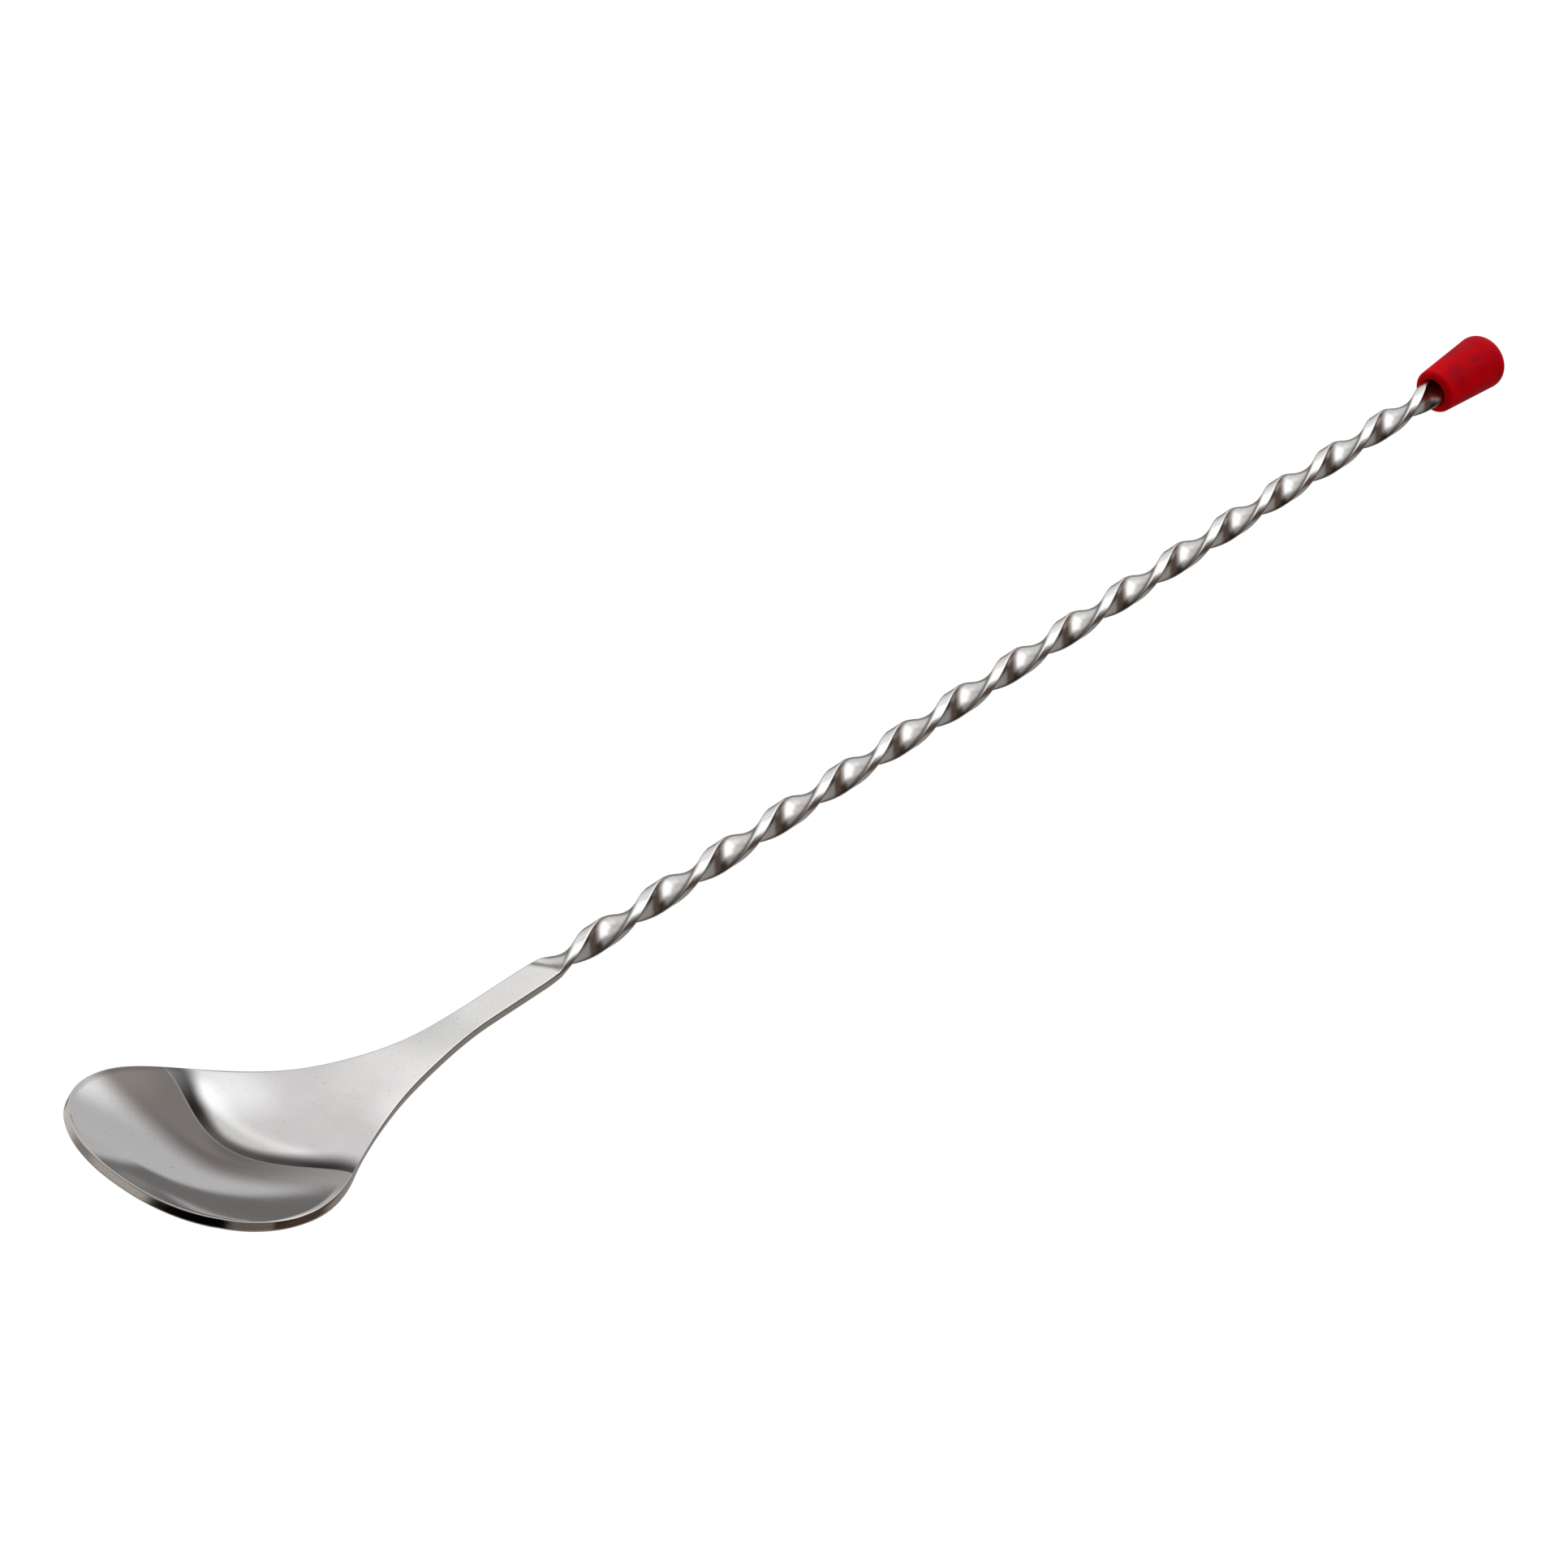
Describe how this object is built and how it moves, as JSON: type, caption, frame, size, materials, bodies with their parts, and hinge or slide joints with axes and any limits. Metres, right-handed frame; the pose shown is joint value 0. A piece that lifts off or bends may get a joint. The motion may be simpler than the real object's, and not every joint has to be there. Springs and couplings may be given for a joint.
{
  "type": "twisted bar spoon with end cap",
  "caption": "Long bar spoon: wide shallow upswept bowl with a creased heel, narrow flat neck, twisted flat-strip handle and a tapered red plastic cap pushed on its end.",
  "frame": {"origin": "middle of the flat underside of the neck, between the bowl and the twisted handle", "axes": "+X along the handle from the bowl to the cap, +Z out of the open side of the bowl, +Y to the left when looking from the bowl to the cap with the bowl open upwards"},
  "size_m": [0.2807, 0.0402, 0.0151],
  "materials": {
    "stainless_steel": "satin polish, finely grained inside the bowl",
    "red_vinyl": "satin soft plastic"
  },
  "bodies": {
    "spoon": {"spoon_blank": "stainless_steel"},
    "cap": {"end_cap": "red_vinyl"}
  },
  "joints": [
    {"name": "cap_pull_off", "type": "slide", "parent": "spoon", "child": "cap", "axis": [1, 0, 0], "range_m": [0, 0.03]}
  ]
}
